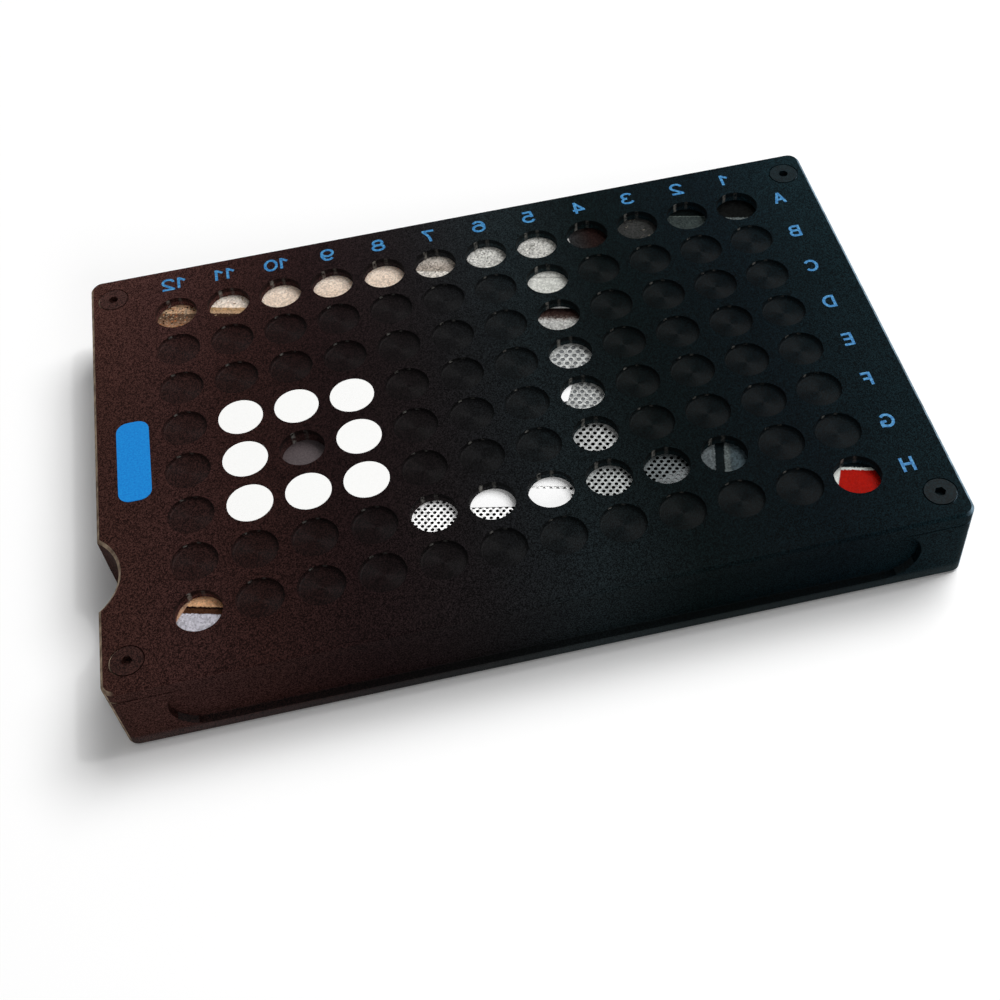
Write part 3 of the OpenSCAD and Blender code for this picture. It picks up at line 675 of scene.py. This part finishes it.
# ---- Screws -----------------------------------------------------------------------
# Countersunk hexagon socket screws at the corners of the cover, and smaller ones in
# the hatch. Alloy steel, cold headed and black oxided: the heads shine faintly.
black_oxide, tree, place = new_material("black_oxided_steel")
colour = dyed_black(tree, place)[0]
tarnish = add(tree, "TexNoise", {"Vector": place, "Scale": 1 / (0.6 * mm), "Detail": 4})
shine = add(tree, "MapRange", {
    "Value": tarnish.outputs["Fac"], "To Min": 0.3, "To Max": 0.5})
oxide = add(tree, "VectorMath", {0: colour, 1: (0.8, 0.8, 0.8)}, operation="MULTIPLY")
skin = add(tree, "BsdfPrincipled", {
    "Base Color": oxide.outputs["Vector"], "Roughness": shine.outputs["Result"],
    "Specular IOR Level": 0.04})
add(tree, "OutputMaterial", {"Surface": skin.outputs["BSDF"]})
cover_with(black_oxide, "cover_screws", "hatch_screws")


# ---- Blue label -------------------------------------------------------------------
# A blank vinyl label with round corners, stuck on the cover beside rows D and E.
# Solvent printed in one bright blue under a thin matt laminate.
label_low = Vector((-60.35, -8.65)) * mm
label_high = Vector((-55.15, 7.85)) * mm
label_r = 1.9 * mm
label_thick = 0.08 * mm
corner_steps = 8
# What is stuck or printed on the cover reaches a little into it, so that no gap shows
sunk = 0.01 * mm

blue_vinyl, tree, place = new_material("printed_blue_vinyl")
dots = add(tree, "TexNoise", {"Vector": place, "Scale": 1 / (0.3 * mm), "Detail": 2})
print_blue = add(tree, "ValToRGB", {"Fac": dots.outputs["Fac"]}, stops=[
    (0.3, "#0d73c3"), (0.7, "#1688d2")])
skin = add(tree, "BsdfPrincipled", {
    "Base Color": print_blue.outputs["Color"], "Roughness": 0.5, "Specular IOR Level": 0.15})
add(tree, "OutputMaterial", {"Surface": skin.outputs["BSDF"]})

shape = bmesh.new()
rim = []
for turn, x, y in ((0, label_high.x, label_high.y), (90, label_low.x, label_high.y),
                   (180, label_low.x, label_low.y), (270, label_high.x, label_low.y)):
    corner = Vector((x, y)) + Vector((
        -label_r if x > label_low.x else label_r, -label_r if y > label_low.y else label_r))
    for step in range(corner_steps + 1):
        angle = math.radians(turn + 90 * step / corner_steps)
        rim.append(shape.verts.new((
            corner.x + label_r * math.cos(angle), corner.y + label_r * math.sin(angle),
            cover_top - sunk)))
shape.faces.new(rim)
label = raised(shape, "blank_label", cover_top + label_thick, blue_vinyl)
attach(label, "root")


# ---- Printed letters and numbers --------------------------------------------------
# Rows A to H and columns 1 to 12, screen printed on the cover in light blue epoxy ink.
# They stand mirror-wise, like the plate's whole layout.
number_high = 3.0 * mm
letter_high = 2.8 * mm
stroke = 0.48 * mm
digit_gap = 0.85 * mm
ink_thick = 0.02 * mm
number_y = 38.75 * mm
letter_x = 57.25 * mm

ink_blue, tree, place = new_material("screen_printed_blue_ink")
mesh_marks = add(tree, "TexNoise", {"Vector": place, "Scale": 1 / (0.4 * mm), "Detail": 2})
ink = add(tree, "ValToRGB", {"Fac": mesh_marks.outputs["Fac"]}, stops=[
    (0.3, "#18588f"), (0.5, "#347ab0"), (0.7, "#5a9cc4")])
skin = add(tree, "BsdfPrincipled", {
    "Base Color": ink.outputs["Color"], "Roughness": 0.45, "Specular IOR Level": 0.15})
add(tree, "OutputMaterial", {"Surface": skin.outputs["BSDF"]})


def bow(x, y, across, up, start, end):
    """Points along part of an oval, from one angle to another in degrees."""
    degrees_a_step = 12
    steps = max(2, round(abs(end - start) / degrees_a_step))
    turns = [math.radians(start + (end - start) * i / steps) for i in range(steps + 1)]
    return [(x + across * math.cos(t), y + up * math.sin(t)) for t in turns]


# Middle lines of the strokes, in parts of the character's height less one stroke
characters = {
    "0": [bow(0.39, 0.5, 0.39, 0.5, 0, 360)],
    "1": [[(0.45, 0.0), (0.45, 1.06)], [(0.02, 0.70), (0.45, 1.0)]],
    "2": [bow(0.39, 0.70, 0.36, 0.30, 175, -40) + [(0.03, 0.02)], [(-0.06, 0), (0.80, 0)]],
    "3": [bow(0.38, 0.745, 0.33, 0.255, 160, -90), bow(0.38, 0.255, 0.38, 0.255, 90, -162)],
    "4": [[(0.58, -0.09), (0.58, 1.09)], [(0.60, 1.03), (0.02, 0.26)],
          [(-0.06, 0.26), (0.80, 0.26)]],
    "5": [[(0.74, 1.0), (0.10, 1.0)], [(0.17, 1.0), (0.10, 0.46)],
          bow(0.38, 0.31, 0.38, 0.31, 140, -160)],
    "6": [bow(0.39, 0.31, 0.38, 0.31, 0, 360), bow(0.41, 0.5, 0.41, 0.5, 42, 200)],
    "7": [[(-0.02, 1.0), (0.80, 1.0)], [(0.74, 1.0), (0.50, 0.66), (0.36, 0.34), (0.29, -0.09)]],
    "8": [bow(0.39, 0.75, 0.32, 0.25, 0, 360), bow(0.39, 0.26, 0.39, 0.26, 0, 360)],
    "9": [bow(0.39, 0.69, 0.38, 0.31, 0, 360), bow(0.37, 0.5, 0.41, 0.5, -138, 20)],
    "A": [[(-0.03, -0.09), (0.34, 1.09)], [(0.71, -0.09), (0.34, 1.09)],
          [(0.12, 0.32), (0.56, 0.32)]],
    "B": [[(0, -0.09), (0, 1.09)], [(0, 0.54), (0.36, 0.54)],
          [(0, 1.0)] + bow(0.36, 0.77, 0.27, 0.23, 90, -90),
          bow(0.38, 0.27, 0.30, 0.27, 90, -90) + [(0, 0.0)]],
    "C": [bow(0.42, 0.5, 0.42, 0.5, 38, 322)],
    "D": [[(0, -0.09), (0, 1.09)],
          [(0, 1.0)] + bow(0.28, 0.5, 0.42, 0.5, 90, -90) + [(0, 0.0)]],
    "E": [[(0, -0.09), (0, 1.09)], [(0, 1), (0.62, 1)], [(0, 0.52), (0.57, 0.52)],
          [(0, 0), (0.64, 0)]],
    "F": [[(0, -0.09), (0, 1.09)], [(0, 1), (0.58, 1)], [(0, 0.5), (0.5, 0.5)]],
    "G": [bow(0.42, 0.5, 0.42, 0.5, 42, 330), [(0.46, 0.44), (0.86, 0.44)],
          [(0.80, 0.44), (0.80, -0.03)]],
    "H": [[(0, -0.09), (0, 1.09)], [(0.68, -0.09), (0.68, 1.09)], [(0, 0.53), (0.68, 0.53)]],
}


def printed(text, x, y, high):
    """One mirrored character group: strokes of even width merged to a film of ink."""
    unit = high - stroke
    same_point = 1e-6
    merge_within = 1e-7
    corners, quads = [], []
    right = 0.0
    for sign in text:
        lines = [[Vector(p) * unit for p in line] for line in characters[sign]]
        width = max(p.x for line in lines for p in line)
        start = right + (digit_gap if right else 0)
        for line in lines:
            sides = []
            for i, point in enumerate(line):
                before = line[max(i - 1, 0)]
                after = line[min(i + 1, len(line) - 1)]
                if (line[0] - line[-1]).length < same_point and i in (0, len(line) - 1):
                    before, after = line[-2], line[1]
                along = (after - before).normalized()
                edge = Vector((-along.y, along.x)) * stroke / 2
                sides.append((point + edge, point - edge))
            for (a, b), (c, d) in zip(sides, sides[1:]):
                first = len(corners)
                corners.extend([Vector((start, 0)) + q for q in (a, b, d, c)])
                quads.append([first, first + 1, first + 2, first + 3])
        right = start + width
    points, _, faces, _, _, origins = delaunay_2d_cdt(corners, [], quads, 0, merge_within)
    film = bmesh.new()
    middle = right / 2
    made = [film.verts.new((
        x - (p.x - middle), y + p.y - unit / 2, cover_top - sunk)) for p in points]
    # A face that comes from no stroke lies in a gap of the character
    for face, origin in zip(faces, origins):
        if origin:
            film.faces.new([made[i] for i in face])
    bmesh.ops.delete(film, geom=[v for v in film.verts if not v.link_faces], context="VERTS")
    piece = raised(film, "printed_" + text.lower(), cover_top + ink_thick, ink_blue)
    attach(piece, "root")


for number in range(1, columns + 1):
    printed(str(number), pitch * ((columns + 1) / 2 - number), number_y, number_high)
for row, letter in enumerate("ABCDEFGH"):
    printed(letter, letter_x, pitch * ((rows - 1) / 2 - row), letter_high)


# ---- Stage ------------------------------------------------------------------------
# A plain white sheet under the plate, a soft box behind and to the right, a small lamp
# at the right that draws the turned floors' highlights, weak fills from above and from
# the front, and a pale surround.
white_sheet, tree, place = new_material("white_paper_sheet")
seen = add(tree, "LightPath").outputs["Is Camera Ray"]
tone = add(tree, "Mix", {
    "Factor": seen, 6: linear("#e4e4e4"), 7: linear("#ffffff")}, data_type="RGBA")
paper = add(tree, "BsdfDiffuse", {"Color": tone.outputs[2]})
# Seen straight from the camera the sheet is a shade lighter, so that it reads as white,
# and more so far from the plate and its shadow, where the lamps' light falls away
near_plate = 350 * mm
far_off = 900 * mm
distance = add(tree, "VectorMath", {0: place}, operation="LENGTH")
lighter = add(tree, "MapRange", {
    "Value": distance.outputs["Value"], "From Min": near_plate, "From Max": far_off,
    "To Min": 0.04, "To Max": 0.6})
glow = add(tree, "Math", {0: seen, 1: lighter.outputs["Result"]}, operation="MULTIPLY")
lift = add(tree, "Emission", {
    "Color": linear("#ffffff"), "Strength": glow.outputs["Value"]})
sheet = add(tree, "AddShader", {0: paper.outputs["BSDF"], 1: lift.outputs["Emission"]})
add(tree, "OutputMaterial", {"Surface": sheet.outputs["Shader"]})

half = 1000 * mm
under = -0.05 * mm
floor_mesh = bpy.data.meshes.new("floor")
floor_mesh.from_pydata([
    (-half, -half, under), (half, -half, under), (half, half, under), (-half, half, under)],
    [], [(0, 1, 2, 3)])
floor_mesh.materials.append(white_sheet)
floor = bpy.data.objects.new("floor", floor_mesh)
bpy.context.scene.collection.objects.link(floor)

scene = bpy.context.scene
scene.view_settings.view_transform = "Standard"
world = bpy.data.worlds.new("pale_studio")
scene.world = world
world.use_nodes = True
tree = world.node_tree
tree.nodes.clear()
# The surround looks white, in the plate's reflections too, but gives it little light
path = add(tree, "LightPath")
shown = add(tree, "Math", {
    0: path.outputs["Is Camera Ray"], 1: path.outputs["Is Glossy Ray"]}, operation="MAXIMUM")
shown = add(tree, "Math", {
    0: shown.outputs["Value"], 1: path.outputs["Is Transmission Ray"]}, operation="MAXIMUM")
strength = add(tree, "MapRange", {
    "Value": shown.outputs["Value"], "To Min": 0.08, "To Max": 1.0})
surround = add(tree, "Background", {
    "Color": linear("#ffffff"), "Strength": strength.outputs["Result"]})
add(tree, "OutputWorld", {"Surface": surround.outputs["Background"]})


def lamp(name, toward, distance, size, level):
    """A square lamp aimed at the plate; level is how much of full white it lends the sheet."""
    aim = Vector(toward).normalized()
    light = bpy.data.lights.new(name, "AREA")
    light.size = size
    # Square to a lamp the sheet gets power / (pi * distance ** 2), and pi is full white
    light.energy = level * math.pi ** 2 * distance ** 2 / aim.z
    item = bpy.data.objects.new(name, light)
    bpy.context.scene.collection.objects.link(item)
    item.location = aim * distance
    item.rotation_mode = "QUATERNION"
    item.rotation_quaternion = aim.to_track_quat("Z", "Y")


away = 2.2
lamp("soft_box", (0.58, 0.36, 1.0), away, size=1.35, level=0.74)
lamp("side_lamp", (0.46, 0.05, 0.89), away, size=0.1, level=0.08)
lamp("top_fill", (0.05, -0.05, 1.0), away, size=0.8, level=0.10)
lamp("front_fill", (0.3, -0.95, 0.5), away, size=0.8, level=0.09)

camera = bpy.data.cameras.new("camera")
camera.sensor_width = 36
camera.lens = 52.4
camera.shift_x = -0.04
stand = bpy.data.objects.new("camera", camera)
bpy.context.scene.collection.objects.link(stand)
azimuth, elevation, roll = math.radians(7.3), math.radians(51.6), math.radians(-5.8)
look = Vector((
    math.sin(azimuth) * math.cos(elevation), math.cos(azimuth) * math.cos(elevation),
    -math.sin(elevation)))
stand.rotation_mode = "QUATERNION"
stand.rotation_quaternion = look.to_track_quat("-Z", "Y") @ Quaternion((0, 0, 1), roll)
stand.location = (-14.8 * mm, -158.6 * mm, 185.3 * mm)
scene.camera = stand
